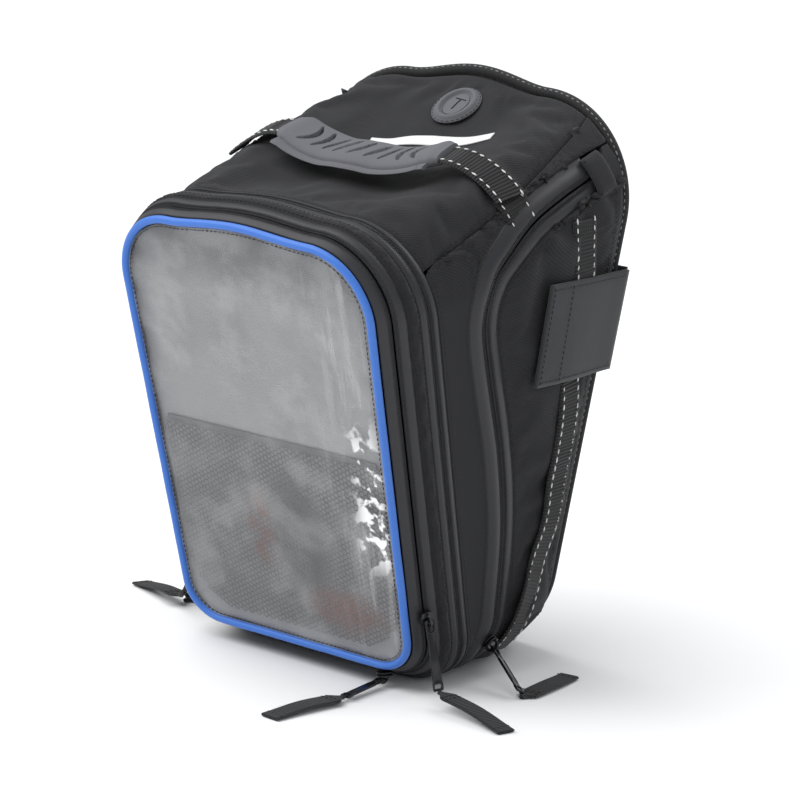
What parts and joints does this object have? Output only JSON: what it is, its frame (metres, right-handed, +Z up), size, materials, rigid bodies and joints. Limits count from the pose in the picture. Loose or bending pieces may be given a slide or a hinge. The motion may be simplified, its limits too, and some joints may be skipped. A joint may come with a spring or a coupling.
{
  "type": "motorcycle tank bag",
  "caption": "Expandable motorcycle tank bag with a zipped main lid, map window lid, carry handle, cable port, wrap tabs and zip pullers.",
  "frame": {"origin": "middle of the foot, on the plane the bag stands on", "axes": "+Z up along the upright bag, +Y towards the base that lies on the tank, -Y out of the map window, +X to the right seen from the map side"},
  "size_m": [0.3694, 0.2621, 0.3765],
  "materials": {
    "twill": "black coated twill, matt",
    "lining": "plain woven lining, matt",
    "zip_tape": "satin water-resistant zip tape",
    "webbing": "ribbed webbing with pale stitches",
    "binding_tape": "ribbed binding tape",
    "hook_fabric": "hook fastener",
    "tab_cloth": "brushed loop cloth",
    "pull_cloth": "ribbed tape",
    "moulded_rubber": "glossy moulded rubber",
    "nonslip_rubber": "matt dotted rubber",
    "stiffener": "foam board, matt",
    "die_cast": "black lacquered die casting",
    "piping": "satin blue piping",
    "grey_cloth": "grey backing cloth",
    "grey_mesh": "honeycomb mesh",
    "reflective": "pale reflective strip",
    "clear_film": "clear film"
  },
  "bodies": {
    "lower_shell": {"base_panel": "twill", "base_board": "stiffener", "nonslip_pad": "nonslip_rubber", "base_binding": "binding_tape", "lower_wall": "twill", "main_zip_tape_lower": "zip_tape", "side_webbing_right": "webbing", "side_webbing_left": "webbing", "hook_patch_right": "hook_fabric", "hook_patch_left": "hook_fabric", "tab_anchor_right": "tab_cloth", "tab_anchor_left": "tab_cloth", "zip_garage_right": "twill", "zip_garage_left": "twill"},
    "wrap_tab_right": {"wrap_tab_right": "tab_cloth"},
    "wrap_tab_left": {"wrap_tab_left": "tab_cloth"},
    "main_lid": {"top_panel": "twill", "upper_wall": "twill", "main_zip_tape_upper": "zip_tape", "cable_port_rim": "moulded_rubber", "cable_port_membrane": "moulded_rubber", "reflective_strip": "reflective", "expansion_zip_tape_rear": "zip_tape"},
    "handle": {"handle_webbing": "webbing", "handle_grip": "moulded_rubber"},
    "front_section": {"expansion_sleeve": "lining", "front_wall": "twill", "organiser_floor": "lining", "expansion_zip_tape_front": "zip_tape", "map_zip_tape_inner": "zip_tape"},
    "map_lid": {"map_window": "clear_film", "window_piping": "piping", "map_backing": "grey_cloth", "mesh_pocket": "grey_mesh", "map_zip_tape_outer": "zip_tape", "hinge_fabric": "twill"},
    "map_side_slider": {"map_side_slider": "die_cast"},
    "map_side_pull": {"map_side_pull": "die_cast"},
    "map_side_pull_tab": {"map_side_pull_tab": "pull_cloth"},
    "map_foot_slider": {"map_foot_slider": "die_cast"},
    "map_foot_pull": {"map_foot_pull": "die_cast"},
    "map_foot_pull_tab": {"map_foot_pull_tab": "pull_cloth"},
    "expansion_slider": {"expansion_slider": "die_cast"},
    "expansion_pull": {"expansion_pull": "die_cast"},
    "expansion_pull_tab": {"expansion_pull_tab": "pull_cloth"},
    "main_right_slider": {"main_right_slider": "die_cast"},
    "main_right_pull": {"main_right_pull": "die_cast"},
    "main_right_pull_tab": {"main_right_pull_tab": "pull_cloth"},
    "main_left_slider": {"main_left_slider": "die_cast"},
    "main_left_pull": {"main_left_pull": "die_cast"},
    "main_left_pull_tab": {"main_left_pull_tab": "pull_cloth"}
  },
  "joints": [
    {"name": "main_lid_hinge", "type": "hinge", "parent": "lower_shell", "child": "main_lid", "pos_m": [0, 0.0616, 0.381], "axis": [-1, 0, 0], "range_deg": [0, 75]},
    {"name": "expansion_slide", "type": "slide", "parent": "main_lid", "child": "front_section", "axis": [0, -1, 0], "range_m": [0, 0.035]},
    {"name": "map_lid_hinge", "type": "hinge", "parent": "front_section", "child": "map_lid", "pos_m": [0, -0.0695, 0], "axis": [1, 0, 0], "range_deg": [0, 70]},
    {"name": "handle_hinge", "type": "hinge", "parent": "main_lid", "child": "handle", "pos_m": [0, -0.04378, 0.31429], "axis": [1, 0, 0], "range_deg": [-10, 10]},
    {"name": "wrap_tab_right_hinge", "type": "hinge", "parent": "lower_shell", "child": "wrap_tab_right", "pos_m": [0.121, 0.0704, 0.229], "axis": [0.134, 0, 0.991], "range_deg": [0, 110]},
    {"name": "wrap_tab_left_hinge", "type": "hinge", "parent": "lower_shell", "child": "wrap_tab_left", "pos_m": [-0.121, 0.0704, 0.229], "axis": [0.134, 0, -0.991], "range_deg": [0, 110]},
    {"name": "map_side_slider_slide", "type": "slide", "parent": "front_section", "child": "map_side_slider", "axis": [0.0333, -0.3046, 0.9519], "range_m": [0, 0.18]},
    {"name": "map_side_pull_hinge", "type": "hinge", "parent": "map_side_slider", "child": "map_side_pull", "pos_m": [0.10355, -0.08903, 0.0524], "axis": [-0.446, -0.8861, -0.126], "range_deg": [0, 80]},
    {"name": "map_side_tab_hinge", "type": "hinge", "parent": "map_side_pull", "child": "map_side_pull_tab", "pos_m": [0.11378, -0.08801, 0.009], "axis": [-0.1961, -0.9806, 0], "range_deg": [0, 28]},
    {"name": "map_foot_slider_slide", "type": "slide", "parent": "map_lid", "child": "map_foot_slider", "axis": [0.9995, 0, 0.03], "range_m": [0, 0.012]},
    {"name": "map_foot_pull_hinge", "type": "hinge", "parent": "map_foot_slider", "child": "map_foot_pull", "pos_m": [0.06596, -0.08163, 0.0049], "axis": [-0.9954, -0.0772, -0.0568], "range_deg": [0, 14]},
    {"name": "map_foot_tab_hinge", "type": "hinge", "parent": "map_foot_pull", "child": "map_foot_pull_tab", "pos_m": [0.06951, -0.12605, 0.003], "axis": [-0.9917, 0.1289, 0], "range_deg": [0, 40]},
    {"name": "expansion_slider_slide", "type": "slide", "parent": "main_lid", "child": "expansion_slider", "axis": [-0.042, -0.3045, 0.9516], "range_m": [0, 0.17]},
    {"name": "expansion_pull_hinge", "type": "hinge", "parent": "expansion_slider", "child": "expansion_pull", "pos_m": [-0.1085, -0.05606, 0.04645], "axis": [-0.0769, 0.9706, 0.228], "range_deg": [0, 70]},
    {"name": "expansion_tab_hinge", "type": "hinge", "parent": "expansion_pull", "child": "expansion_pull_tab", "pos_m": [-0.1317, -0.04911, 0.009], "axis": [0.3714, 0.9285, 0], "range_deg": [0, 30]},
    {"name": "main_right_slider_slide", "type": "slide", "parent": "lower_shell", "child": "main_right_slider", "axis": [0.5071, 0.312, 0.8034], "range_m": [0, 0.02]},
    {"name": "main_right_pull_hinge", "type": "hinge", "parent": "main_right_slider", "child": "main_right_pull", "pos_m": [0.10347, -0.01814, 0.02224], "axis": [-0.2001, -0.8571, 0.4746], "range_deg": [0, 45]},
    {"name": "main_right_tab_hinge", "type": "hinge", "parent": "main_right_pull", "child": "main_right_pull_tab", "pos_m": [0.14011, -0.03646, 0.0014], "axis": [0, 0, 1], "range_deg": [-30, 30]},
    {"name": "main_left_slider_slide", "type": "slide", "parent": "lower_shell", "child": "main_left_slider", "axis": [-0.5071, 0.312, 0.8034], "range_m": [0, 0.02]},
    {"name": "main_left_pull_hinge", "type": "hinge", "parent": "main_left_slider", "child": "main_left_pull", "pos_m": [-0.10347, -0.01814, 0.02224], "axis": [-0.2001, 0.8571, -0.4746], "range_deg": [0, 45]},
    {"name": "main_left_tab_hinge", "type": "hinge", "parent": "main_left_pull", "child": "main_left_pull_tab", "pos_m": [-0.14011, -0.03646, 0.0014], "axis": [0, 0, 1], "range_deg": [-30, 30]}
  ]
}
